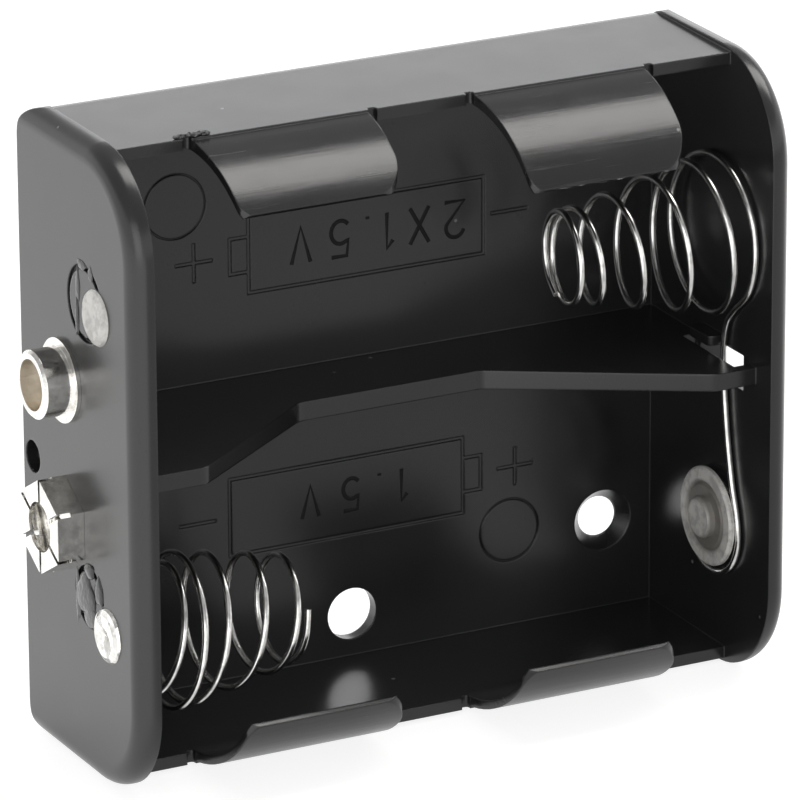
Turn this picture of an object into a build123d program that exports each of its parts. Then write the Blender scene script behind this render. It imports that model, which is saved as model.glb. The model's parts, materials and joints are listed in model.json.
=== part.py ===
from build123d import *
import math
import os

os.makedirs("parts", exist_ok=True)

# Cells that the tray holds, both lying along X, one above the other
cell_diameter = 26.2
cell_length = 50.0
cell_side_clearance = 0.1
spring_room = 9.0

# Moulded tray
rib_thickness = 1.5
rib_root_thickness = 1.9
wall_back_thickness = 1.3
wall_front_thickness = 1.1
wall_front_step = 0.6
plate_lip = 0.25
floor_thickness = 1.2
end_wall = 2.1
plate_front_reach = 8.2
plate_front_radius = 9.0
plate_back_radius = 2.8
plate_edge_radius = 1.7
back_edge_radius = 2.2

# Rib between the bays, high at both ends and low in the middle
rib_end_height = 18.7
rib_mid_height = 8.2
rib_left_shoulder = 5.7
rib_left_foot = 19.7
rib_right_foot = 21.7
rib_right_shoulder = 3.9
rib_corner_radius = 1.6

# Clips that curl over the cells
clip_thickness = 1.0
clip_preload = 1.0
clip_setback = 1.0
clip_width = 16.6
clip_taper = 0.6
clip_tip_thinning = 0.6
clip_near_corner_radius = 1.2
clip_far_corner_radius = 3.0
clip_pitch = 26.7
clip_first_from_plate = 15.5
lower_clip_shift = 0.5
clip_wrap_first = 49.0
clip_wrap_upper = 58.0
clip_wrap_lower = 59.5
relief_width = 0.8
relief_depth = 0.5

# Wire slot and window in the wall that carries the link wire
slot_width = 1.6
slot_front_height = 17.6
slot_back_height = 8.4
window_front_height = 16.5
window_length = 7.6
window_below_middle = 2.1
window_above_middle = 1.2
catch_length = 3.8
catch_thickness = 0.9
catch_reach = 1.5
catch_gap = 0.3
catch_corner_radius = 0.6

# Holes and marks in the floor
screw_hole_diameter = 4.8
screw_hole_from_end = 28.8
screw_hole_above_base = 5.5
sunk_hole_diameter = 3.7
sunk_hole_rim_diameter = 5.7
sunk_hole_from_end = 54.1
sunk_hole_above_base = 9.9
mark_depth = 0.15
mark_width = 0.3
mark_offset = 12.0
ejector_mark_diameter = 6.0
ejector_first_from_end = 12.0
ejector_first_offset = 17.4
ejector_second_from_end = 44.6
ejector_second_offset = 18.0
outline_length = 23.3
outline_height = 7.4
nub_length = 1.8
nub_height = 3.5
upper_outline_from_end = 18.9
lower_outline_from_end = 16.8
sign_size = 3.6
plus_gap = 5.1
upper_minus_gap = 2.4
lower_minus_gap = 3.0

# Snap terminals on the outside of one end wall
snap_pitch = 12.9
snaps_below_middle = 0.15
snap_above_axis = 5.9
stud_diameter = 6.0
stud_height = 3.0
stud_wall = 0.75
stud_flange_diameter = 7.4
stud_flange_thickness = 0.4
stud_edge_radius = 0.25
socket_across_corners = 8.6
socket_height = 2.5
socket_base_thickness = 0.4
socket_bore_diameter = 6.4
socket_mouth_diameter = 4.4
socket_petal_thickness = 0.4
socket_slot_width = 0.4
socket_slot_above_base = 0.9
socket_slot_count = 6
eyelet_shank_diameter = 2.6
eyelet_hole_diameter = 1.4
eyelet_head_diameter = 4.0
eyelet_head_thickness = 0.3
eyelet_flare_diameter = 3.9
locator_hole_diameter = 2.9
locator_hole_depth = 1.2
locator_hole_behind_snap = 6.5
locator_hole_below_middle = 2.7
pad_recess_depth = 0.35
upper_pad_diameter = 6.9
lower_pad_diameter = 5.6
ring_recess_width = 0.5
pad_recess_land = 0.1
upper_pad_back = 2.2
upper_pad_rise = 0.6
lower_pad_back = 3.6
lower_pad_rise = 2.3

# Contacts, strips and rivets
strip_thickness = 0.3
strip_width = 6.0
button_diameter = 9.0
button_thickness = 0.5
button_step_diameter = 3.8
button_step_height = 0.7
button_groove_diameter = 6.2
button_groove_width = 0.5
button_groove_depth = 0.2
button_edge_break = 0.2
shank_diameter = 2.6
peen_diameter = 4.9
peen_height = 0.45
peen_dimple_diameter = 2.6
peen_dimple_depth = 0.25
peen_rounding = 0.6
spring_rivet_head_diameter = 4.4
spring_rivet_head_thickness = 0.5
spring_rivet_below_axis = 0.3
spring_rivet_forward = 2.2

left_contact_forward = 1.0

# Spring wire
wire_diameter = 0.6
spring_reach = 15.8
points_per_turn = 14
eye_turns = 0.83
eye_end = 60.0

# Lower spring: eye under the rivet, narrow first turn, wide turn, then the taper
lower_spring_back = 0.4
lower_spring_drop = 2.2
lower_spring_first_radius = 4.3
lower_spring_wide_radius = 7.2
lower_spring_tip_radius = 4.5
lower_spring_first_rise = 3.8
lower_spring_turns = 5.5
lower_spring_lead_turns = 0.45
lower_spring_lift_turns = 0.75
lower_spring_rise_start = 0.3
lower_spring_rise_turns = 4.5
lower_spring_widen_turns = 1.5
lower_spring_taper_start = 1.7
lower_spring_taper_turns = 3.2

# Upper spring, one wire with the link and with the loop under the lower button
upper_spring_back = 1.8
upper_spring_drop = 3.5
upper_spring_base_radius = 7.45
upper_spring_tip_radius = 4.1
upper_spring_turns = 5.9
upper_spring_rise_lead = 0.2
upper_spring_rise_turns = 5.35
upper_spring_taper_start = 0.9
upper_spring_taper_turns = 4.3
upper_spring_start = 240.0
button_back = 1.2
button_drop = 1.2
loop_drop = 0.6
loop_beyond_button = 0.1
loop_turns = 0.92
loop_end = 160.0
link_forward = 0.5
link_lean = 6.0

# Working clearances
shank_clearance = 0.06
wire_clearance = 0.03
wire_bead = 0.01

# Sizes that follow from the ones above
cell_radius = cell_diameter / 2
bay_width = cell_diameter + cell_side_clearance
inner_width = 2 * bay_width + rib_thickness
wall_width = inner_width + 2 * wall_back_thickness
plate_height = wall_width + 2 * plate_lip
inner_length = cell_length + spring_room
outer_length = inner_length + 2 * end_wall
axis_y = plate_front_reach
floor_y = axis_y + cell_radius
depth = floor_y + floor_thickness
middle_z = plate_height / 2
axis_offset = (rib_thickness + bay_width) / 2
upper_z = middle_z + axis_offset
lower_z = middle_z - axis_offset
left_x = end_wall
right_x = end_wall + inner_length
clip_inner_radius = cell_radius - clip_preload
clip_outer_radius = clip_inner_radius + clip_thickness
clip_centre_y = axis_y + clip_setback
clip_centre_offset = inner_width / 2 - clip_inner_radius
clip_wrap_most = max(clip_wrap_first, clip_wrap_upper, clip_wrap_lower)
front_of_clips = clip_centre_y - clip_outer_radius * math.sin(math.radians(clip_wrap_most))
front_of_part = min(0, front_of_clips)
wall_front_y = axis_y - wall_front_step
snap_y = axis_y + snap_above_axis
stud_z = middle_z - snaps_below_middle + snap_pitch / 2
socket_z = middle_z - snaps_below_middle - snap_pitch / 2
rivet_y = axis_y - spring_rivet_forward
rivet_z = lower_z - spring_rivet_below_axis
left_contact_y = axis_y - left_contact_forward
button_y = axis_y + button_back
button_z = lower_z - button_drop
eye_radius = (shank_diameter + wire_diameter) / 2 + shank_clearance
loop_radius = button_diameter / 2 + loop_beyond_button
window_front_y = floor_y - window_front_height

# The middle of the whole part's box stands at the origin
shift_x = -(outer_length + peen_height - stud_height) / 2
shift_y = -(depth + front_of_part) / 2


# Solid turned about a line along X
def turned(points, y, z):
    outline = make_face(Polyline(*points, close=True))
    solid = revolve(outline, axis=Axis.X)
    return Pos(0, y, z) * solid


# Round bar along X from one depth to another
def bar(x0, x1, radius, y, z):
    return Pos((x0 + x1) / 2, y, z) * Rot(0, 90, 0) * Cylinder(radius, x1 - x0)


# Block given by its two corners
def block(x0, x1, y0, y1, z0, z1):
    return Pos((x0 + x1) / 2, (y0 + y1) / 2, (z0 + z1) / 2) * Box(x1 - x0, y1 - y0, z1 - z0)


# Outline in the YZ plane pushed along X
def along_x(points, x0, x1):
    corners = [(0, y, z) for y, z in points]
    face = make_face(Polyline(*corners, close=True))
    return Pos(x0, 0, 0) * extrude(face, amount=x1 - x0, dir=(1, 0, 0))


# End plate, rounded toward the open side, its outer face softened except along the back
def end_plate(x0, x1, outer_x):
    past_back = depth + plate_front_radius
    plate = block(x0, x1, 0, past_back, 0, plate_height)
    front = plate.edges().filter_by(Axis.X).sort_by(Axis.Y)[:2]
    plate = fillet(front, plate_front_radius)
    sides = plate.faces().filter_by(Axis.X).sort_by(Axis.X)
    face = sides[0] if outer_x < (x0 + x1) / 2 else sides[-1]
    plate = fillet(face.edges(), plate_edge_radius)
    limits = block(x0, x1, -1, depth, 0, plate_height)
    back = limits.edges().filter_by(Axis.X).sort_by(Axis.Y)[-2:]
    return plate & fillet(back, plate_back_radius)


# Channel of floor and long walls, the walls thinner toward their front edges
def channel():
    half_in = inner_width / 2
    half_front = half_in + wall_front_thickness
    half_back = half_in + wall_back_thickness
    outer = [(wall_front_y, middle_z - half_front), (depth, middle_z - half_back)]
    outer += [(depth, middle_z + half_back), (wall_front_y, middle_z + half_front)]
    shell = along_x(outer, left_x - end_wall / 4, right_x + end_wall / 4)
    back = shell.edges().filter_by(Axis.X).sort_by(Axis.Y)[-2:]
    shell = fillet(back, back_edge_radius)
    hollow = block(left_x - 1, right_x + 1, 0, floor_y, middle_z - half_in, middle_z + half_in)
    return shell - hollow


# Rib, thicker at its root, with its front edge running down to a low middle
def rib():
    half = rib_thickness / 2
    root = rib_root_thickness / 2
    top_y = floor_y - rib_end_height
    low_y = floor_y - rib_mid_height
    section = [(0, middle_z - half), (floor_y, middle_z - root)]
    section += [(floor_y, middle_z + root), (0, middle_z + half)]
    web = along_x(section, left_x, right_x)
    line = [(left_x, floor_y), (left_x, top_y), (left_x + rib_left_shoulder, top_y)]
    line += [(left_x + rib_left_foot, low_y), (right_x - rib_right_foot, low_y)]
    line += [(right_x - rib_right_shoulder, top_y), (right_x, top_y), (right_x, floor_y)]
    side = extrude(make_face(Polyline(*line, close=True)), amount=plate_height)
    bends = [e for e in side.edges().filter_by(Axis.Z) if left_x + 1 < e.center().X < right_x - 1]
    side = fillet(bends, rib_corner_radius)
    return web & side


# One clip, curling from a long wall over the cell; side is +1 above and -1 below
def clip(centre_x, side, wrap):
    z = middle_z + side * clip_centre_offset
    ring = bar(centre_x - clip_width, centre_x + clip_width, clip_outer_radius, clip_centre_y, z)
    hollow_y = clip_centre_y - clip_tip_thinning
    ring -= bar(centre_x - clip_width, centre_x + clip_width, clip_inner_radius, hollow_y, z)
    far = 3 * clip_outer_radius
    lean = math.radians(wrap)
    fan = [(clip_centre_y, z), (clip_centre_y, z + side * far)]
    fan += [(clip_centre_y - far * math.sin(lean), z + side * far)]
    fan += [(clip_centre_y - far * math.sin(lean), z + side * far * math.cos(lean))]
    shell = ring & along_x(fan, centre_x - clip_width, centre_x + clip_width)
    tip_y = clip_centre_y - clip_outer_radius * math.sin(lean)
    half = clip_width / 2
    end = half - clip_taper
    shape = [(centre_x - half, clip_centre_y + 1), (centre_x - half, axis_y)]
    shape += [(centre_x - end, tip_y - 0.01), (centre_x + end, tip_y - 0.01)]
    shape += [(centre_x + half, axis_y), (centre_x + half, clip_centre_y + 1)]
    outline = extrude(make_face(Polyline(*shape, close=True)), amount=plate_height)
    tips = outline.edges().filter_by(Axis.Z).sort_by(Axis.Y)[:2].sort_by(Axis.X)
    outline = fillet(tips[0], clip_near_corner_radius)
    tips = outline.edges().filter_by(Axis.Z).sort_by(Axis.X)
    tips = [e for e in tips if abs(e.center().Y - tip_y + 0.01) < 0.001 and e.center().X > centre_x + 1]
    outline = fillet(tips, clip_far_corner_radius)
    return shell & outline


# Cut beside a clip that lets it bend
def relief(x0, x1, side):
    z_in = middle_z + side * (inner_width / 2 - 0.5)
    z_out = middle_z + side * plate_height / 2
    low, high = min(z_in, z_out), max(z_in, z_out)
    cut = block(x0, x1, wall_front_y - 1, wall_front_y + relief_depth, low, high)
    back = cut.edges().filter_by(Axis.Z).sort_by(Axis.Y)[-2:]
    return fillet(back, relief_depth * 0.6)


# Narrow groove in the floor along X or Z
def groove(x0, x1, z0, z1):
    return block(x0, x1, floor_y - 1, floor_y + mark_depth, z0, z1)


# Frame groove: the edge of a rectangle
def frame_groove(x0, x1, z0, z1):
    inner = groove(x0 + mark_width, x1 - mark_width, z0 + mark_width, z1 - mark_width)
    return groove(x0, x1, z0, z1) - inner


# Ring groove left by an ejector pin
def ring_groove(x, z):
    radius = ejector_mark_diameter / 2
    ring = Pos(x, floor_y, z) * Rot(90, 0, 0) * Cylinder(radius, 2 * mark_depth)
    return ring - Pos(x, floor_y, z) * Rot(90, 0, 0) * Cylinder(radius - mark_width / 2, 3 * mark_depth)


# Cell picture with its end nub and the plus and minus signs beside it
def cell_mark(x0, z, nub_side, minus_gap):
    x1 = x0 + outline_length
    marks = frame_groove(x0, x1, z - outline_height / 2, z + outline_height / 2)
    nub_x = x0 - nub_length if nub_side < 0 else x1 - mark_width
    nub_end = nub_x + nub_length + mark_width
    marks += frame_groove(nub_x, nub_end, z - nub_height / 2, z + nub_height / 2)
    plus_x = x0 - plus_gap if nub_side < 0 else x1 + plus_gap
    minus_x = x1 + minus_gap if nub_side < 0 else x0 - minus_gap
    half = sign_size / 2
    marks += groove(plus_x - half, plus_x + half, z - mark_width / 2, z + mark_width / 2)
    marks += groove(plus_x - mark_width / 2, plus_x + mark_width / 2, z - half, z + half)
    marks += groove(minus_x - half, minus_x + half, z - mark_width / 2, z + mark_width / 2)
    return marks


# Tray
tray = end_plate(0, end_wall, 0)
tray += end_plate(right_x, outer_length, outer_length)
tray += channel()
tray += rib()
upper_first_x = left_x + clip_first_from_plate
for number, wrap in enumerate((clip_wrap_first, clip_wrap_upper)):
    centre = upper_first_x + number * clip_pitch
    tray += clip(centre, 1, wrap)
    tray -= relief(centre - clip_width / 2 - relief_width, centre - clip_width / 2, 1)
    tray -= relief(centre + clip_width / 2, centre + clip_width / 2 + relief_width, 1)
for number in range(2):
    centre = upper_first_x - lower_clip_shift + number * clip_pitch
    tray += clip(centre, -1, clip_wrap_lower)
    tray -= relief(centre - clip_width / 2 - relief_width, centre - clip_width / 2, -1)
    tray -= relief(centre + clip_width / 2, centre + clip_width / 2 + relief_width, -1)

# Slot for the link wire beside the rib, and the window behind it
slot_low = middle_z - rib_root_thickness
slot_high = middle_z + rib_root_thickness
slot_front_y = floor_y - slot_front_height
slot_back_y = floor_y - slot_back_height
tray -= block(right_x - slot_width, right_x, slot_front_y, slot_back_y, slot_low, slot_high)
window_low = middle_z - window_below_middle
window_high = middle_z + window_above_middle
window_back_y = window_front_y + window_length
tray -= block(right_x - 1, outer_length + 1, window_front_y, window_back_y, window_low, window_high)

# Catch over the link wire beside the slot
catch_y = axis_y - link_forward + wire_diameter / 2 + catch_gap
catch_z = window_high
catch_x = right_x - catch_reach
catch_top = catch_z + catch_thickness
catch = block(catch_x, right_x, catch_y, catch_y + catch_length, catch_z, catch_top)
catch = fillet(catch.edges().filter_by(Axis.Z).sort_by(Axis.X)[:2], catch_corner_radius)
tray += catch

# Holes through the floor
hole_x = screw_hole_from_end + end_wall
tray -= Pos(hole_x, depth, screw_hole_above_base) * Rot(90, 0, 0) * Cylinder(screw_hole_diameter / 2, 6)
sunk_x = sunk_hole_from_end + end_wall
sunk_r = sunk_hole_diameter / 2
rim_r = sunk_hole_rim_diameter / 2
tray -= Pos(sunk_x, depth, sunk_hole_above_base) * Rot(90, 0, 0) * Cylinder(sunk_r, 6)
cone = Cone(sunk_r, rim_r, floor_thickness)
tray -= Pos(sunk_x, floor_y + floor_thickness / 2, sunk_hole_above_base) * Rot(90, 0, 0) * cone

# Moulded and engraved marks on the floor
tray -= ring_groove(end_wall + ejector_first_from_end, middle_z + ejector_first_offset)
tray -= ring_groove(end_wall + ejector_second_from_end, middle_z - ejector_second_offset)
tray -= cell_mark(end_wall + upper_outline_from_end, middle_z + mark_offset, -1, upper_minus_gap)
tray -= cell_mark(end_wall + lower_outline_from_end, middle_z - mark_offset, 1, lower_minus_gap)

# Seats, shank holes and the locating hole in the end walls
shank_hole = shank_diameter / 2 + shank_clearance
eyelet_hole = eyelet_shank_diameter / 2 + shank_clearance
tray -= bar(-1, end_wall + 1, eyelet_hole, snap_y, stud_z)
tray -= bar(-1, end_wall + 1, eyelet_hole, snap_y, socket_z)
tray -= bar(-1, end_wall + 1, shank_hole, left_contact_y, upper_z)
tray -= bar(-1, end_wall + 1, shank_hole, rivet_y, rivet_z)
tray -= bar(right_x - 1, outer_length + 1, shank_hole, button_y, button_z)
locator_y = snap_y + locator_hole_behind_snap
locator_z = middle_z - locator_hole_below_middle
tray -= bar(-1, locator_hole_depth, locator_hole_diameter / 2, locator_y, locator_z)
cut_round_rivets = bar(-2, 1, peen_diameter / 2 + pad_recess_land, left_contact_y, upper_z)
cut_round_rivets += bar(-2, 1, peen_diameter / 2 + pad_recess_land, rivet_y, rivet_z)
upper_pad = (left_contact_y + upper_pad_back, upper_z + upper_pad_rise, upper_pad_diameter / 2)
lower_pad = (rivet_y + lower_pad_back, rivet_z + lower_pad_rise, lower_pad_diameter / 2)
for y, z, radius in (upper_pad, lower_pad):
    pad = bar(-1, pad_recess_depth, radius, y, z)
    pad -= bar(-2, 1, radius - ring_recess_width, y, z)
    tray -= pad - cut_round_rivets


# Stud: open cup with a flange, its floor clamped by the eyelet
def snap_stud():
    r = stud_diameter / 2
    f = stud_flange_diameter / 2
    hole = eyelet_shank_diameter / 2 + shank_clearance
    e = stud_edge_radius
    pts = [(0, hole, 0), (0, f, 0), (-stud_flange_thickness, f, 0), (-stud_flange_thickness, r, 0)]
    pts += [(-stud_height + e, r, 0), (-stud_height, r - e, 0)]
    pts += [(-stud_height, r - stud_wall, 0), (-stud_flange_thickness, r - stud_wall, 0)]
    pts += [(-stud_flange_thickness, hole, 0)]
    return turned(pts, snap_y, stud_z)


# Socket: six-sided shell cut into springy petals round its bore
def snap_socket():
    hole = eyelet_shank_diameter / 2 + shank_clearance
    hexagon = RegularPolygon(socket_across_corners / 2, 6, major_radius=True, rotation=90)
    body = extrude(Plane.YZ * hexagon, amount=-socket_height)
    body = Pos(0, snap_y, socket_z) * body
    mouth = -socket_height + socket_petal_thickness
    body -= bar(mouth, -socket_base_thickness, socket_bore_diameter / 2, snap_y, socket_z)
    body -= bar(-socket_height - 1, mouth + 1, socket_mouth_diameter / 2, snap_y, socket_z)
    body -= bar(-1, 1, hole, snap_y, socket_z)
    slot_end = -socket_base_thickness - socket_slot_above_base
    half = socket_slot_width / 2
    for step in range(socket_slot_count):
        turn = 360 / socket_slot_count * step + 30
        slot = block(-socket_height - 1, slot_end, 0, socket_across_corners, -half, half)
        body -= Pos(0, snap_y, socket_z) * Rot(turn, 0, 0) * slot
    return body


# Hollow eyelet: head on the terminal's floor, shank through wall and strip, flare inside
def eyelet(z, floor_x):
    r = eyelet_shank_diameter / 2
    bore = eyelet_hole_diameter / 2
    head = eyelet_head_diameter / 2
    flare = eyelet_flare_diameter / 2
    inner = end_wall + strip_thickness
    pts = [(floor_x - eyelet_head_thickness, bore, 0), (floor_x - eyelet_head_thickness, head, 0)]
    pts += [(floor_x, head, 0), (floor_x, r, 0), (inner, r, 0), (inner, flare, 0)]
    pts += [(inner + eyelet_head_thickness, flare, 0), (inner + eyelet_head_thickness, bore, 0)]
    return turned(pts, snap_y, z)


# Flat strip on the inside of the end wall, from a snap's eyelet to a contact
def strip(z0, y1, z1):
    low = end_wall
    high = end_wall + strip_thickness
    line = Line((0, snap_y, z0), (0, y1, z1))
    length = line.length
    angle = math.degrees(math.atan2(z1 - z0, y1 - snap_y))
    slab = block(low, high, 0, length, -strip_width / 2, strip_width / 2)
    slab = Pos(0, snap_y, z0) * Rot(angle, 0, 0) * slab
    slab += bar(low, high, strip_width / 2, snap_y, z0)
    slab += bar(low, high, strip_width / 2, y1, z1)
    slab -= bar(low - 1, high + 1, eyelet_shank_diameter / 2 + shank_clearance, snap_y, z0)
    slab -= bar(low - 1, high + 1, shank_diameter / 2 + shank_clearance, y1, z1)
    return slab


# Peened end of a shank over the outside of a wall, from its shank to its dimple
def peen_points(outside_x, way):
    k = shank_diameter / 2
    p = peen_diameter / 2
    d = peen_dimple_diameter / 2
    end = outside_x - way * peen_height
    shoulder = outside_x - way * peen_height / 2
    points = [(outside_x, k, 0), (outside_x, p, 0), (shoulder, p - peen_rounding / 4, 0)]
    points += [(end, p - peen_rounding, 0), (end, d, 0), (end + way * peen_dimple_depth, 0, 0)]
    return points


# Button contact facing along way, its shank peened over the outside of the wall
def button(y, z, seat_x, outside_x, way):
    r = button_diameter / 2
    s = button_step_diameter / 2
    groove_r = button_groove_diameter / 2
    half = button_groove_width / 2
    face = seat_x + way * button_thickness
    top = face + way * button_step_height
    low = face - way * button_groove_depth
    b = button_edge_break
    points = [(top, 0, 0), (top, s - b, 0), (top - way * b, s, 0), (face, s, 0)]
    points += [(face, groove_r - half, 0), (low, groove_r, 0), (face, groove_r + half, 0)]
    points += [(face, r - b, 0), (face - way * b, r, 0), (seat_x, r, 0), (seat_x, shank_diameter / 2, 0)]
    return turned(points + peen_points(outside_x, way), y, z)


# Rivet that clamps the spring's eye, peened over the outside of the wall
def spring_rivet_solid():
    h = spring_rivet_head_diameter / 2
    b = button_edge_break
    seat = end_wall + strip_thickness + wire_diameter + 2 * wire_clearance
    top = seat + spring_rivet_head_thickness
    points = [(top, 0, 0), (top, h - b, 0), (top - b, h, 0), (seat, h, 0)]
    points += [(seat, shank_diameter / 2, 0)]
    return turned(points + peen_points(0, 1), rivet_y, rivet_z)


# Share of a smooth step from 0 to 1 while turn passes from start over length
def step_share(turn, start, length):
    part = min(1.0, max(0.0, (turn - start) / length))
    return part * part * (3 - 2 * part)


# Point of a coil round an axis along X
def coil_point(x, y, z, radius, angle):
    return (x, y + radius * math.cos(angle), z + radius * math.sin(angle))


# Direction in which a coil leaves a point, its angle falling
def coil_way(angle):
    return (0, math.sin(angle), -math.cos(angle))


# Lower spring's coil, from the wall into the bay
def lower_coil(y, z, seat_x):
    points = []
    steps = int(lower_spring_turns * points_per_turn)
    grow = lower_spring_wide_radius - lower_spring_first_radius
    shrink = lower_spring_wide_radius - lower_spring_tip_radius
    rest = spring_reach - wire_diameter - lower_spring_first_rise
    for i in range(steps + 1):
        turn = i / points_per_turn - lower_spring_lead_turns
        widen = step_share(turn, -lower_spring_lead_turns, lower_spring_widen_turns)
        narrow = step_share(turn, lower_spring_taper_start, lower_spring_taper_turns)
        radius = lower_spring_first_radius + grow * widen - shrink * narrow
        lift = step_share(turn, -lower_spring_lead_turns, lower_spring_lift_turns)
        climb = step_share(turn, lower_spring_rise_start, lower_spring_rise_turns)
        rise = lower_spring_first_rise * lift + rest * climb
        points.append(coil_point(seat_x + rise, y, z, radius, math.pi - 2 * math.pi * turn))
    return points


# Upper spring's coil, from the wall into the bay
def upper_coil(y, z, seat_x):
    points = []
    steps = int(upper_spring_turns * points_per_turn)
    shrink = upper_spring_base_radius - upper_spring_tip_radius
    first_climb = step_share(0, -upper_spring_rise_lead, upper_spring_rise_turns)
    for i in range(steps + 1):
        turn = i / points_per_turn
        narrow = step_share(turn, upper_spring_taper_start, upper_spring_taper_turns)
        radius = upper_spring_base_radius - shrink * narrow
        climb = step_share(turn, -upper_spring_rise_lead, upper_spring_rise_turns) - first_climb
        rise = (spring_reach - wire_diameter) * climb / (1 - first_climb)
        angle = math.radians(upper_spring_start) - 2 * math.pi * turn
        points.append(coil_point(seat_x - rise, y, z, radius, angle))
    return points


# Round wire: a flat run on the wall, then a coil, with a bead where they meet
def wire_solid(flat, coil):
    flat_path = Spline(*flat, coil[0])
    coil_path = Spline(*coil)
    flat_end = Plane(origin=flat_path @ 0, z_dir=flat_path % 0) * Circle(wire_diameter / 2)
    coil_end = Plane(origin=coil_path @ 0, z_dir=coil_path % 0) * Circle(wire_diameter / 2)
    wire = sweep(flat_end, path=flat_path)
    wire += Pos(*coil[0]) * Sphere(wire_diameter / 2 + wire_bead)
    wire += sweep(coil_end, path=coil_path, is_frenet=True)
    return wire


# Points between two ends of a wire, leaving the first and reaching the last along given ways
def join_points(first, first_way, last, last_way, count):
    pull = math.dist(first, last)
    points = []
    for i in range(1, count):
        u = i / count
        from_first = 2 * u ** 3 - 3 * u ** 2 + 1
        from_last = 1 - from_first
        lead = (u ** 3 - 2 * u ** 2 + u) * pull
        trail = (u ** 3 - u ** 2) * pull
        point = []
        for a, b, c, d in zip(first, first_way, last, last_way):
            point.append(from_first * a + lead * b + from_last * c + trail * d)
        points.append(tuple(point))
    return points


# Flat ring of wire round a point, its angle falling to last_angle
def ring_points(x, y, z, radius, last_angle, turns):
    steps = int(turns * 12)
    points = []
    for i in range(steps + 1):
        angle = math.radians(last_angle) + 2 * math.pi * (steps - i) / 12
        points.append(coil_point(x, y, z, radius, angle))
    return points


# Lower spring: eye under the rivet, then its coil
def lower_spring_solid():
    seat_x = end_wall + strip_thickness + wire_diameter / 2 + wire_clearance
    eye = ring_points(seat_x, rivet_y, rivet_z, eye_radius, eye_end, eye_turns)
    coil = lower_coil(axis_y + lower_spring_back, lower_z - lower_spring_drop, seat_x)
    eye_way = coil_way(math.radians(eye_end))
    coil_start_way = coil_way(math.pi + 2 * math.pi * lower_spring_lead_turns)
    join = join_points(eye[-1], eye_way, coil[0], coil_start_way, 4)
    return wire_solid(eye + join, coil)


# Link spring: loop under the lower button, wire past the rib, then the upper coil
def link_spring_solid():
    seat_x = right_x - wire_diameter / 2 - wire_clearance
    loop = ring_points(seat_x, button_y, button_z - loop_drop, loop_radius, loop_end, loop_turns)
    coil = upper_coil(axis_y + upper_spring_back, upper_z - upper_spring_drop, seat_x)
    lean = math.radians(link_lean)
    link_way = (0, math.sin(lean), math.cos(lean))
    beside_rib = (seat_x, axis_y - link_forward, middle_z - rib_root_thickness / 2)
    loop_way = coil_way(math.radians(loop_end))
    coil_start_way = coil_way(math.radians(upper_spring_start))
    rising = join_points(loop[-1], loop_way, beside_rib, link_way, 5)
    turning = join_points(beside_rib, link_way, coil[0], coil_start_way, 3)
    return wire_solid(loop + rising + [beside_rib] + turning, coil)


# All pieces, each moved to the shared origin
pieces = {}
pieces["tray"] = tray
pieces["male_snap_stud"] = snap_stud()
pieces["female_snap_socket"] = snap_socket()
pieces["male_snap_eyelet"] = eyelet(stud_z, -stud_flange_thickness)
pieces["female_snap_eyelet"] = eyelet(socket_z, -socket_base_thickness)
pieces["positive_strip"] = strip(stud_z, left_contact_y, upper_z)
pieces["negative_strip"] = strip(socket_z, rivet_y, rivet_z)
pieces["left_button_contact"] = button(left_contact_y, upper_z, end_wall + strip_thickness, 0, 1)
right_seat = right_x - wire_diameter - 2 * wire_clearance
pieces["right_button_contact"] = button(button_y, button_z, right_seat, outer_length, -1)
pieces["spring_rivet"] = spring_rivet_solid()
pieces["lower_spring"] = lower_spring_solid()
pieces["link_spring"] = link_spring_solid()

for name, piece in pieces.items():
    moved = Pos(shift_x, shift_y, 0) * piece
    moved.label = name
    export_step(moved, "parts/" + name + ".step")
    box = moved.bounding_box()
    print(name, round(moved.volume, 2), len(moved.solids()), box.min, box.max)
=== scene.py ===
import json
import math
import random
import bpy
import bmesh
from mathutils import Matrix, Vector


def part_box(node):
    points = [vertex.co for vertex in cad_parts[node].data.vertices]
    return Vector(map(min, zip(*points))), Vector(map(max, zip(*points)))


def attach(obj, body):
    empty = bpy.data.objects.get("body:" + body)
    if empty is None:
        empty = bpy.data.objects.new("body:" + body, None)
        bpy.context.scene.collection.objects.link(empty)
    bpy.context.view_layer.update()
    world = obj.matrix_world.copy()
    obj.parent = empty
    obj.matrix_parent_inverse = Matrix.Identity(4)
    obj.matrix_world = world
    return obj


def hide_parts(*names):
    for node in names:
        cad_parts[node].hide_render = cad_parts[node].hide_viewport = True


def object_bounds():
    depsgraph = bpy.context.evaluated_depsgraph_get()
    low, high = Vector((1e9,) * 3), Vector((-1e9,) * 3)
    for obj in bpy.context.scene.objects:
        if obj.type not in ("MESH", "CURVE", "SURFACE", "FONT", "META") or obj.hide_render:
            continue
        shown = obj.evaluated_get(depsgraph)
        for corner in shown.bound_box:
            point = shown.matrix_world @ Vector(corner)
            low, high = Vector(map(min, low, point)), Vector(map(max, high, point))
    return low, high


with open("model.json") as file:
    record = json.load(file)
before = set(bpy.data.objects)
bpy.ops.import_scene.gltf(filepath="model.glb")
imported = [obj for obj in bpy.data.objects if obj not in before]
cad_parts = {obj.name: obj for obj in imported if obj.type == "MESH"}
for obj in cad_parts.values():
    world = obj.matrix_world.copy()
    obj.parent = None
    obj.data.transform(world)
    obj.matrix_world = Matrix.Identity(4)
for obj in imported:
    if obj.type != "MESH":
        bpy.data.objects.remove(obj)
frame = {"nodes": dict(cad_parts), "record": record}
cad_low, cad_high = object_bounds()
nodes = frame["nodes"]
scene = bpy.context.scene
MM = 0.001

# Places are in millimetres from the left end plate's outer face and the end plates' front edge
PLATE_DEPTH = 22.5
FLOOR_Y = 21.3
shift_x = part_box("tray")[0].x / MM
shift_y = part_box("tray")[1].y / MM - PLATE_DEPTH


def place(x, y, z):
    return Vector(((x + shift_x) * MM, (y + shift_y) * MM, z * MM))


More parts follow.
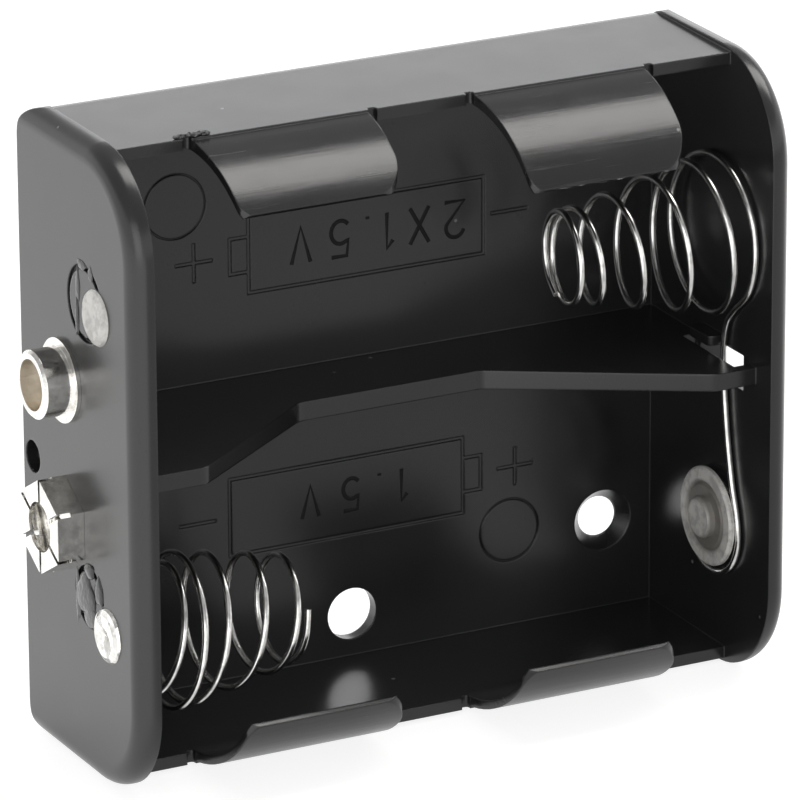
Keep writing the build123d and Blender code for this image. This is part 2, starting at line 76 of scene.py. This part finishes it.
# Camera, fitted to the tray's corners in the photo
SENSOR = 36.0
PICTURE_PIXELS = 800
FOCAL_PIXELS = 7359.5
CAMERA_DISTANCE = 0.63667
azimuth, elevation, roll = math.radians(-27.295), math.radians(19.653), math.radians(-0.298)
target = place(31, 12, 28.5)
back = Vector((math.sin(azimuth) * math.cos(elevation),
               -math.cos(azimuth) * math.cos(elevation),
               math.sin(elevation)))
level = Vector((0, 0, 1)).cross(back).normalized()
upward = back.cross(level)
right = level * math.cos(roll) + upward * math.sin(roll)
top = -level * math.sin(roll) + upward * math.cos(roll)
camera_data = bpy.data.cameras.new("camera")
camera_data.sensor_width = SENSOR
camera_data.lens = FOCAL_PIXELS / PICTURE_PIXELS * SENSOR
camera_data.clip_start, camera_data.clip_end = 0.05, 20
camera = bpy.data.objects.new("camera", camera_data)
scene.collection.objects.link(camera)
turn = Matrix((right, top, back)).transposed().to_4x4()
camera.matrix_world = Matrix.Translation(target + back * CAMERA_DISTANCE) @ turn
scene.camera = camera

# Middle of the tray, in metres
TRAY_MIDDLE_X = 0.00127
TRAY_MIDDLE_Z = 0.0286


# Lights: soft boxes out of the camera's sight, with their width level
def soft_box(name, direction, distance, width, height, radiance, colour=(1, 1, 1)):
    data = bpy.data.lights.new(name, "AREA")
    data.color = colour
    data.shape = "RECTANGLE"
    data.size, data.size_y = width, height
    data.energy = radiance * math.pi * width * height
    lamp = bpy.data.objects.new(name, data)
    scene.collection.objects.link(lamp)
    way = Vector(direction).normalized()
    across = (Vector((1, 0, 0)) - way * way.x).normalized()
    facing = Matrix((across, way.cross(across), way)).transposed().to_4x4()
    lamp.matrix_world = Matrix.Translation(Vector((0, 0, TRAY_MIDDLE_Z)) + way * distance) @ facing
    lamp.visible_camera = False


soft_box("overhead", direction=(0.43, 0.03, 0.90), distance=0.60, width=0.80, height=0.27,
         radiance=4.1, colour=(1.0, 0.985, 0.955))
soft_box("behind", direction=(0.34, 0.88, 0.25), distance=0.80, width=0.90, height=0.20,
         radiance=1.05, colour=(0.97, 0.97, 1.0))
soft_box("front", direction=(-0.60, -0.80, 0.25), distance=0.80, width=0.50, height=0.50, radiance=1.1)


# Small helpers for node trees
class Tree:
    def __init__(self, name, world=False):
        self.material = bpy.data.worlds.new(name) if world else bpy.data.materials.new(name)
        self.material.use_nodes = True
        self.tree = self.material.node_tree
        self.tree.nodes.clear()
        self.out = self.tree.nodes.new("ShaderNodeOutputWorld" if world else "ShaderNodeOutputMaterial")

    def node(self, kind, **values):
        made = self.tree.nodes.new(kind)
        for key, value in values.items():
            setattr(made, key, value)
        return made

    def link(self, a, b):
        self.tree.links.new(a, b)

    def feed(self, value, socket):
        if isinstance(value, bpy.types.NodeSocket):
            self.link(value, socket)
        else:
            socket.default_value = value

    def math(self, operation, a, b=None, clamp=False):
        made = self.node("ShaderNodeMath", operation=operation, use_clamp=clamp)
        self.feed(a, made.inputs[0])
        if b is not None:
            self.feed(b, made.inputs[1])
        return made.outputs[0]

    def times(self, first, *others):
        for other in others:
            first = self.math("MULTIPLY", first, other)
        return first

    def away_from(self, middle, value):
        return self.math("ABSOLUTE", self.math("SUBTRACT", value, middle))

    def position(self, kind="Object"):
        where = self.node("ShaderNodeTexCoord")
        split = self.node("ShaderNodeSeparateXYZ")
        self.link(where.outputs[kind], split.inputs[0])
        return split.outputs

    # Distance in Y and Z from a point
    def from_axis(self, middle):
        where = self.node("ShaderNodeTexCoord")
        flat = self.node("ShaderNodeVectorMath", operation="MULTIPLY")
        self.link(where.outputs["Object"], flat.inputs[0])
        flat.inputs[1].default_value = (0, 1, 1)
        reach = self.node("ShaderNodeVectorMath", operation="DISTANCE")
        self.link(flat.outputs[0], reach.inputs[0])
        reach.inputs[1].default_value = (0, middle.y, middle.z)
        return reach.outputs["Value"]

    def coordinates(self, scale=(1, 1, 1)):
        where = self.node("ShaderNodeTexCoord")
        stretch = self.node("ShaderNodeMapping")
        stretch.inputs["Scale"].default_value = scale
        self.link(where.outputs["Object"], stretch.inputs["Vector"])
        return stretch.outputs["Vector"]

    def noise(self, scale, detail, rough=0.5, stretch=(1, 1, 1)):
        made = self.node("ShaderNodeTexNoise")
        self.link(self.coordinates(stretch), made.inputs["Vector"])
        made.inputs["Scale"].default_value = scale
        made.inputs["Detail"].default_value = detail
        made.inputs["Roughness"].default_value = rough
        return made.outputs["Fac"]

    def ramp(self, value, low, high, to_low=0.0, to_high=1.0, smooth=True):
        made = self.node("ShaderNodeMapRange")
        made.interpolation_type = "SMOOTHSTEP" if smooth else "LINEAR"
        made.inputs["From Min"].default_value = low
        made.inputs["From Max"].default_value = high
        made.inputs["To Min"].default_value = to_low
        made.inputs["To Max"].default_value = to_high
        self.link(value, made.inputs["Value"])
        return made.outputs["Result"]

    def mix(self, share, low, high):
        made = self.node("ShaderNodeMix", data_type="RGBA")
        for value, socket in ((low, made.inputs["A"]), (high, made.inputs["B"])):
            self.feed((*value, 1) if isinstance(value, tuple) else value, socket)
        self.link(share, made.inputs["Factor"])
        return made.outputs["Result"]

    def bump(self, height, distance, strength, normal=None):
        made = self.node("ShaderNodeBump")
        made.inputs["Distance"].default_value = distance
        made.inputs["Strength"].default_value = strength
        self.link(height, made.inputs["Height"])
        if normal is not None:
            self.link(normal, made.inputs["Normal"])
        return made.outputs["Normal"]

    def soft_edge(self, radius):
        made = self.node("ShaderNodeBevel", samples=6)
        made.inputs["Radius"].default_value = radius
        return made.outputs["Normal"]

    def principled(self, colour, roughness, normal):
        made = self.node("ShaderNodeBsdfPrincipled")
        self.link(colour, made.inputs["Base Color"])
        self.link(roughness, made.inputs["Roughness"])
        self.link(normal, made.inputs["Normal"])
        return made

    def glow(self, kind, strength):
        made = self.node(kind)
        made.inputs["Color"].default_value = (1, 1, 1, 1)
        self.feed(strength, made.inputs["Strength"])
        return made.outputs[0]

    def mix_shader(self, share, first, second):
        made = self.node("ShaderNodeMixShader")
        self.link(share, made.inputs["Fac"])
        self.link(first, made.inputs[1])
        self.link(second, made.inputs[2])
        return made.outputs[0]

    # What is seen straight on or through glass, what glossy faces mirror, and what lights the rest
    def by_ray(self, seen, mirrored, rest):
        path = self.node("ShaderNodeLightPath")
        direct = self.math("MAXIMUM", path.outputs["Is Camera Ray"], path.outputs["Is Transmission Ray"])
        indirect = self.mix_shader(path.outputs["Is Glossy Ray"], rest, mirrored)
        return self.mix_shader(direct, indirect, seen)

    def surface(self, shader):
        self.link(shader, self.out.inputs["Surface"])
        return self.material


# Surroundings: white straight on, soft grey above and in front in reflections
def studio():
    t = Tree("studio", world=True)
    way = t.position("Generated")
    by_height = t.ramp(way["Z"], low=0.33, high=0.46, to_low=1.05, to_high=0.42)
    by_depth = t.ramp(way["Y"], low=-0.55, high=0.1, to_low=0.95, to_high=1.0)
    seen = t.glow("ShaderNodeBackground", 1.0)
    mirrored = t.glow("ShaderNodeBackground", t.times(by_height, by_depth))
    fill = t.glow("ShaderNodeBackground", 0.50)
    return t.surface(t.by_ray(seen, mirrored, fill))


scene.world = studio()

# Where the clips' outer faces lie: in front of the cells, inside the end plates, off the middle
CLIP_FRONT_Y = (6.2, 7.0)
CLIP_REACH_X = (0.0280, 0.0285)
CLIP_REACH_Z = (0.012, 0.014)
PLASTIC_IOR = 1.6
PLASTIC_EDGE = 0.00022


# Moulded black plastic: satin grain, worn and scratched on the clips, a little dust
def plastic():
    t = Tree("black_plastic")
    spot = t.position()
    in_front = t.ramp(spot["Y"], (CLIP_FRONT_Y[1] + shift_y) * MM, (CLIP_FRONT_Y[0] + shift_y) * MM)
    inside_ends = t.ramp(t.away_from(TRAY_MIDDLE_X, spot["X"]), CLIP_REACH_X[1], CLIP_REACH_X[0])
    off_middle = t.ramp(t.away_from(TRAY_MIDDLE_Z, spot["Z"]), *CLIP_REACH_Z)
    on_clip = t.times(in_front, inside_ends, off_middle)

    grain = t.noise(5200, detail=2.0, rough=0.6)
    cloud = t.noise(190, detail=4.0, rough=0.55)
    drawn = t.noise(900, detail=5.0, rough=0.7, stretch=(0.06, 1.6, 1.6))
    scuff = t.noise(420, detail=5.0, rough=0.65, stretch=(0.35, 1, 1))
    specks = t.node("ShaderNodeTexVoronoi", feature="F1")
    t.link(t.coordinates(), specks.inputs["Vector"])
    specks.inputs["Scale"].default_value = 330
    specks.inputs["Randomness"].default_value = 1.0
    dot = t.ramp(specks.outputs["Distance"], 0.075, 0.04)
    rare = t.ramp(t.noise(150, detail=1.0), 0.60, 0.66)
    dust = t.times(dot, rare)
    worn = t.times(t.ramp(drawn, 0.60, 0.70), on_clip, 0.35)

    tone = t.mix(cloud, (0.0155, 0.0155, 0.0168), (0.0215, 0.0215, 0.0228))
    tone = t.mix(worn, tone, (0.085, 0.084, 0.082))
    tone = t.mix(t.times(dust, 0.7), tone, (0.30, 0.30, 0.29))

    scuffed = t.times(t.ramp(scuff, 0.45, 0.75, to_low=0.0, to_high=0.08), on_clip)
    rough = t.math("ADD", t.ramp(cloud, 0.3, 0.7, to_low=0.23, to_high=0.26), scuffed)
    rough = t.math("SUBTRACT", rough, t.times(on_clip, 0.07))
    rough = t.math("ADD", rough, t.times(worn, 0.25), clamp=True)

    normal = t.soft_edge(PLASTIC_EDGE)
    normal = t.bump(cloud, distance=0.00002, strength=0.2, normal=normal)
    normal = t.bump(grain, distance=0.000003, strength=0.4, normal=normal)
    normal = t.bump(t.times(drawn, on_clip), distance=0.00002, strength=0.8, normal=normal)
    shader = t.principled(tone, rough, normal)
    shader.inputs["IOR"].default_value = PLASTIC_IOR
    return t.surface(shader.outputs[0])


# The moulded figures: the plastic without gloss and darker, painted shade standing in for the shadow in the
# engraved strokes
def figure_shade_plastic():
    t = Tree("black_plastic_figure_shade")
    grain = t.noise(4000, detail=3.0, rough=0.6)
    # Darker than the other plastic: painted shade of the engraved strokes
    tone = t.mix(grain, (0.007, 0.007, 0.0075), (0.012, 0.012, 0.0125))
    rough = t.ramp(grain, 0.3, 0.7, to_low=0.55, to_high=0.7)
    shader = t.principled(tone, rough, t.bump(grain, distance=0.00001, strength=0.6))
    shader.inputs["Specular IOR Level"].default_value = 0.25
    return t.surface(shader.outputs[0])


# Torn edge of the moulding: paler and rough
def torn_plastic():
    t = Tree("black_plastic_torn")
    grain = t.noise(5200, detail=4.0, rough=0.7)
    tone = t.mix(t.ramp(grain, 0.4, 0.62), (0.012, 0.012, 0.012), (0.20, 0.20, 0.20))
    rough = t.ramp(grain, 0.3, 0.7, to_low=0.4, to_high=0.7)
    shader = t.principled(tone, rough, t.bump(grain, distance=0.00008, strength=1.0))
    return t.surface(shader.outputs[0])


# Plastic that melted round a rivet and set again: glossy and uneven
def melted_plastic():
    t = Tree("black_plastic_melted")
    swirl = t.noise(1300, detail=3.0, rough=0.6)
    tone = t.mix(swirl, (0.012, 0.012, 0.013), (0.030, 0.030, 0.031))
    rough = t.ramp(swirl, 0.3, 0.7, to_low=0.08, to_high=0.22)
    shader = t.principled(tone, rough, t.bump(swirl, distance=0.00012, strength=0.8))
    shader.inputs["IOR"].default_value = PLASTIC_IOR
    return t.surface(shader.outputs[0])


# Radii in metres: the stud's hollow, and the button's darker ring in its groove with its soft sides
CUP_RADIUS = 0.0023
CUP_EDGE = 0.0001
GROOVE_INSIDE = (0.0014, 0.0020)
GROOVE_OUTSIDE = (0.0036, 0.0030)


# Plated metal. Cup and groove are the middles of a dull hollow and of a darker ring
def plated(name, colour, rough_low, rough_high, stretch=(1, 1, 1), depth=0.000008, edge=0.00006,
           metallic=1.0, cup=None, groove=None, facets=0.0):
    t = Tree(name)
    spots = t.noise(900, detail=4.0, rough=0.6)
    fine = t.noise(2600, detail=3.0, rough=0.6, stretch=stretch)
    dark = tuple(c * 0.72 for c in colour)
    tone = t.mix(t.ramp(spots, 0.35, 0.6), dark, colour)
    rough = t.ramp(fine, 0.3, 0.75, to_low=rough_low, to_high=rough_high)
    if cup is not None:
        inside = t.ramp(t.from_axis(cup), CUP_RADIUS, CUP_RADIUS - CUP_EDGE)
        tone = t.mix(inside, tone, (0.86, 0.76, 0.62))
        rough = t.math("ADD", rough, t.times(inside, 0.45), clamp=True)
    if groove is not None:
        far = t.from_axis(groove)
        darker_ring = t.times(t.ramp(far, *GROOVE_INSIDE), t.ramp(far, *GROOVE_OUTSIDE), 0.85)
        tone = t.mix(darker_ring, tone, (0.20, 0.185, 0.165))
    normal = t.soft_edge(edge)
    if facets:
        cells = t.node("ShaderNodeTexVoronoi", feature="SMOOTH_F1")
        t.link(t.coordinates(), cells.inputs["Vector"])
        cells.inputs["Scale"].default_value = 520
        cells.inputs["Smoothness"].default_value = 0.25
        normal = t.bump(cells.outputs["Distance"], distance=facets, strength=1.0, normal=normal)
    normal = t.bump(fine, distance=depth, strength=0.8, normal=normal)
    normal = t.bump(spots, distance=depth * 1.5, strength=0.6, normal=normal)
    shader = t.principled(tone, rough, normal)
    shader.inputs["Metallic"].default_value = metallic
    return t.surface(shader.outputs[0])


stud_low, stud_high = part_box("male_snap_stud")
button_low, button_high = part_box("right_button_contact")
black = plastic()
figure_shade = figure_shade_plastic()
torn = torn_plastic()
melted = melted_plastic()
terminal = plated("nickel_terminal", (0.93, 0.915, 0.88), 0.10, 0.18, depth=0.000004,
                  cup=(stud_low + stud_high) / 2)
rivet = plated("nickel_rivet", (0.90, 0.885, 0.85), 0.12, 0.22, depth=0.000005, facets=0.0007)
sheet = plated("nickel_strip", (0.70, 0.68, 0.64), 0.18, 0.30, stretch=(1, 0.1, 1))
contact = plated("nickel_contact", (0.96, 0.94, 0.90), 0.42, 0.50, depth=0.000006, metallic=0.15,
                 groove=(button_low + button_high) / 2)
wire = plated("spring_wire", (0.96, 0.95, 0.93), 0.18, 0.24, depth=0.0000008, edge=0.00002)
by_slot = {
    "black_plastic": black,
    "nickel_terminal": terminal,
    "nickel_rivet": rivet,
    "nickel_strip": sheet,
    "nickel_contact": contact,
    "spring_wire": wire,
}
slots = {part["node"]: part["material_slot"] for part in frame["record"]["subparts"]}
for name, thing in nodes.items():
    for spot in thing.material_slots:
        spot.material = by_slot[slots[name]]


# A new piece from a mesh
def add_mesh(name, mesh, material):
    for face in mesh.polygons:
        face.use_smooth = True
    thing = bpy.data.objects.new(name, mesh)
    scene.collection.objects.link(thing)
    thing.data.materials.append(material)
    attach(thing, "root")
    return thing


# Round bars along runs of points
def bars(name, runs, radius, material):
    data = bpy.data.curves.new(name, "CURVE")
    data.dimensions = "3D"
    data.bevel_depth = radius
    data.bevel_resolution = 3
    data.use_fill_caps = True
    for run in runs:
        line = data.splines.new("POLY")
        line.points.add(len(run) - 1)
        for point, where in zip(line.points, run):
            point.co = (*where, 1)
    thing = bpy.data.objects.new(name, data)
    scene.collection.objects.link(thing)
    mesh = bpy.data.meshes.new_from_object(thing)
    bpy.data.objects.remove(thing)
    return add_mesh(name, mesh, material)


def arc(cx, cy, rx, ry, start, end, steps):
    points = []
    for i in range(steps + 1):
        angle = math.radians(start + (end - start) * i / steps)
        points.append((cx + rx * math.cos(angle), cy + ry * math.sin(angle)))
    return points


# Strokes of the moulded figures, in a box 1 high
strokes = {
    "1": [[(-0.18, 0.78), (0.0, 1.0), (0.0, 0.0)]],
    "2": [arc(0, 0.72, 0.27, 0.28, 165, -20, 12) + [(-0.28, 0.0), (0.30, 0.0)]],
    "5": [[(0.24, 1.0), (-0.20, 1.0), (-0.25, 0.56)] + arc(-0.02, 0.33, 0.28, 0.32, 125, -140, 14)],
    "X": [[(-0.28, 0.0), (0.28, 1.0)], [(-0.28, 1.0), (0.28, 0.0)]],
    "V": [[(-0.28, 1.0), (0.0, 0.0), (0.28, 1.0)]],
    ".": [[(0.0, 0.02), (0.0, 0.09)]],
}
STROKE_RADIUS = 0.00019
STROKE_FLATNESS = 0.3


# Figures read upside down on the floor, as the cells' marks do. Each one has its own place along X
def figures(name, spots, base_z, height):
    runs = []
    for sign, x in spots:
        for stroke in strokes[sign]:
            runs.append([place(x - u * height, FLOOR_Y, base_z - v * height) for u, v in stroke])
    made = bars(name, runs, STROKE_RADIUS, figure_shade)
    floor_y = place(0, FLOOR_Y, 0).y
    for vert in made.data.vertices:
        vert.co.y = floor_y + (vert.co.y - floor_y) * STROKE_FLATNESS


upper_marks = [("2", 41.3), ("X", 37.8), ("1", 34.6), (".", 32.7), ("5", 30.0), ("V", 26.2)]
lower_marks = [("1", 35.9), (".", 33.7), ("5", 30.9), ("V", 26.9)]
figures("upper_bay_figures", upper_marks, base_z=42.3, height=3.3)
figures("lower_bay_figures", lower_marks, base_z=18.3, height=3.0)


PHASE_RANGE = 6.28


# Lumps of set plastic with uneven outlines: each has a middle and three half sizes in millimetres
def lumps(name, spots, unevenness, material):
    mesh = bpy.data.meshes.new(name)
    bm = bmesh.new()
    for where, reach in spots:
        ball = bmesh.ops.create_icosphere(bm, subdivisions=3, radius=1.0)
        phase = random.random() * PHASE_RANGE
        for vert in ball["verts"]:
            v = vert.co
            round_way = math.atan2(v.z, v.y)
            waves = math.sin(3 * round_way + phase) + 0.6 * math.sin(5 * round_way + 2 * phase)
            waves += 0.5 * math.sin(7 * v.x + 4 * v.z + phase)
            uneven = 1 + unevenness * waves
            vert.co = where + Vector((v.x * reach[0], v.y * reach[1] * uneven, v.z * reach[2] * uneven)) * MM
    bm.to_mesh(mesh)
    bm.free()
    add_mesh(name, mesh, material)


# Melted plastic round the two rivets on the left end plate: places along Y and Z, then half sizes
MELT_SPOTS = [
    ((10.75, 44.3), (0.10, 0.45, 1.5)),
    ((10.95, 41.6), (0.13, 0.35, 1.9)),
    ((9.9, 46.4), (0.08, 0.9, 0.45)),
    ((8.2, 46.0), (0.06, 0.5, 0.7)),
    ((10.3, 16.6), (0.22, 1.9, 1.9)),
    ((9.3, 15.0), (0.16, 1.5, 1.2)),
    ((9.5, 19.1), (0.22, 0.95, 0.7)),
    ((7.7, 17.7), (0.18, 0.8, 1.3)),
    ((11.9, 16.0), (0.08, 0.5, 2.4)),
]
random.seed(11)
lumps("rivet_melt", [(place(0, *spot), reach) for spot, reach in MELT_SPOTS], 0.10, melted)

# Torn burr on the top wall beside the first clip
BURR_COUNT = 22
BURR_X, BURR_LENGTH = 7.9, 3.0
BURR_Y, BURR_DEPTH = 7.75, 0.35
BURR_Z, BURR_RISE = 56.91, 0.03
BURR_SIZE, BURR_SPREAD = 0.10, 0.09
random.seed(3)
torn_spots = []
for i in range(BURR_COUNT):
    size = BURR_SIZE + BURR_SPREAD * random.random()
    along = BURR_X + BURR_LENGTH * i / (BURR_COUNT - 1)
    spot = place(along, BURR_Y + BURR_DEPTH * random.random(), BURR_Z + BURR_RISE * random.random())
    torn_spots.append((spot, (1.6 * size, 1.3 * size, size)))
lumps("clip_burr", torn_spots, 0.25, torn)

# Springs: the eye lies on the left strip, the loop on the right end plate. Middles are along Y and Z
WIRE_RADIUS = 0.3
STRIP = 0.3
SLACK = 0.03
LEFT_FACE_X, RIGHT_FACE_X = 2.1, 61.1
EYE_X = LEFT_FACE_X + STRIP + WIRE_RADIUS + SLACK
LOOP_X = RIGHT_FACE_X - WIRE_RADIUS - SLACK
EYE_MIDDLE, EYE_RADIUS = (6.0, 14.4), 1.66
LOWER_MIDDLE = (8.6, 12.7)
LOOP_MIDDLE, LOOP_RADIUS = (9.4, 12.9), 4.6
UPPER_MIDDLE = (9.4, 39.9)
BESIDE_RIB = (7.7, 27.65)
LOWER_ANGLE = math.radians(342)
UPPER_ANGLE = math.radians(240)
RING_STEPS = 12
COIL_STEPS = 14
LINE_STEPS = 6


# Smooth line through points
def smooth_run(points):
    out = []
    for i in range(len(points) - 1):
        p0 = Vector(points[max(i - 1, 0)])
        p1, p2 = Vector(points[i]), Vector(points[i + 1])
        p3 = Vector(points[min(i + 2, len(points) - 1)])
        for k in range(LINE_STEPS):
            u = k / LINE_STEPS
            q = 0.5 * (2 * p1 + (p2 - p0) * u + (2 * p0 - 5 * p1 + 4 * p2 - p3) * u * u
                       + (3 * p1 - 3 * p2 + p3 - p0) * u ** 3)
            out.append(tuple(q))
    out.append(tuple(points[-1]))
    return out


# Share from 0 to 1 that eases in and out over a stretch of turns
def step_share(turn, start, length):
    part = min(1.0, max(0.0, (turn - start) / length))
    return part * part * (3 - 2 * part)


def on_ring(x, middle, radius, angle):
    return (x, middle[0] + radius * math.cos(angle), middle[1] + radius * math.sin(angle))


def ring_way(angle):
    return (0, math.sin(angle), -math.cos(angle))


# Flat part of a ring against an end plate, up to its last angle
def flat_ring(x, middle, radius, last, turns):
    steps = int(turns * RING_STEPS)
    angles = [last + 2 * math.pi * (steps - i) / RING_STEPS for i in range(steps + 1)]
    return [on_ring(x, middle, radius, angle) for angle in angles]


# Points between two ends, leaving the first and reaching the last along their own ways
def joined(first, first_way, last, last_way, count):
    pull = math.dist(first, last)
    points = []
    for i in range(1, count):
        u = i / count
        near = 2 * u ** 3 - 3 * u ** 2 + 1
        lead, trail = (u ** 3 - 2 * u ** 2 + u) * pull, (u ** 3 - u ** 2) * pull
        points.append(tuple(near * a + lead * b + (1 - near) * c + trail * d
                            for a, b, c, d in zip(first, first_way, last, last_way)))
    return points


# The lower coil opens from the eye, then narrows, a little askew. Starts and lengths are in turns
def lower_coil(turns=5.5, first_turn=-0.45, radius_at_eye=5.0, opening=1.7, narrowing=2.3,
               first_rise=4.2, rise=11.0, lean=0.123):
    points = []
    for i in range(int(turns * COIL_STEPS) + 1):
        turn = i / COIL_STEPS + first_turn
        opened = step_share(turn, first_turn, 1.5)
        radius = radius_at_eye + opening * opened - narrowing * step_share(turn, 0.65, 5.0)
        out = first_rise * step_share(turn, first_turn, 0.75) + rise * step_share(turn, 0.75, 4.15)
        angle = math.pi - 2 * math.pi * turn
        askew = lean * radius * math.sin(angle) * opened
        points.append(on_ring(EYE_X + out + askew, LOWER_MIDDLE, radius, angle))
    return points


# The upper coil starts flat on the right end plate, then narrows in the same way
def upper_coil(turns=5.9, wide_radius=7.1, narrowing=3.0, rise=15.2, lean=0.114):
    points = []
    for i in range(int(turns * COIL_STEPS) + 1):
        turn = i / COIL_STEPS
        radius = wide_radius - narrowing * step_share(turn, 0.3, 4.7)
        out = rise * step_share(turn, 0.05, 5.35)
        angle = UPPER_ANGLE - 2 * math.pi * turn
        askew = lean * radius * math.cos(angle) * step_share(turn, 0.6, 1.2)
        points.append(on_ring(LOOP_X - out + askew, UPPER_MIDDLE, radius, angle))
    return points


# A spring's wire, which stands in for the plainer one
def spring(name, node, points):
    line = [place(*point) for point in smooth_run(points)]
    made = bars(name, [line], WIRE_RADIUS * MM, wire)
    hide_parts(node)


eye_end = math.radians(60)
eye = flat_ring(EYE_X, EYE_MIDDLE, EYE_RADIUS, eye_end, turns=0.83)
coil = lower_coil()
eye_to_coil = joined(eye[-1], ring_way(eye_end), coil[0], ring_way(LOWER_ANGLE), 4)
spring("lower_spring_wire", "lower_spring", eye + eye_to_coil + coil)

loop_end = math.radians(160)
link_lean = math.radians(6)
link_way = (0, math.sin(link_lean), math.cos(link_lean))
beside_rib = (LOOP_X, *BESIDE_RIB)
loop = flat_ring(LOOP_X, LOOP_MIDDLE, LOOP_RADIUS, loop_end, turns=0.92)
coil = upper_coil()
link = joined(loop[-1], ring_way(loop_end), beside_rib, link_way, 5) + [beside_rib]
link += joined(beside_rib, link_way, coil[0], ring_way(UPPER_ANGLE), 3)
spring("link_spring_wire", "link_spring", loop + link + coil)


# Pale floor: mirrored, it is bright behind and to the left of the part, and dim elsewhere
def pale_floor():
    t = Tree("pale_floor")
    spot = t.position()
    far_side = t.ramp(spot["Y"], -0.03, 0.03)
    left_side = t.ramp(spot["X"], -0.015, -0.04)
    bright = t.math("MAXIMUM", far_side, left_side)
    shine = t.ramp(bright, 0.0, 1.0, to_low=0.26, to_high=1.05, smooth=False)
    mirrored = t.glow("ShaderNodeEmission", shine)
    seen = t.glow("ShaderNodeEmission", 0.86)
    unlit = t.glow("ShaderNodeEmission", 0.0)
    diffuse = t.node("ShaderNodeBsdfDiffuse")
    diffuse.inputs["Color"].default_value = (0.36, 0.36, 0.36, 1)
    both = t.node("ShaderNodeAddShader")
    t.link(diffuse.outputs[0], both.inputs[0])
    t.link(t.by_ray(seen, mirrored, unlit), both.inputs[1])
    return t.surface(both.outputs[0])


FLOOR_RADIUS = 3.0
floor_mesh = bpy.data.meshes.new("floor")
bm = bmesh.new()
bmesh.ops.create_circle(bm, cap_ends=True, radius=FLOOR_RADIUS, segments=64)
bm.to_mesh(floor_mesh)
bm.free()
floor = bpy.data.objects.new("floor", floor_mesh)
floor.location = (0, 0, cad_low.z)
floor.data.materials.append(pale_floor())
scene.collection.objects.link(floor)

scene.view_settings.view_transform = "Standard"
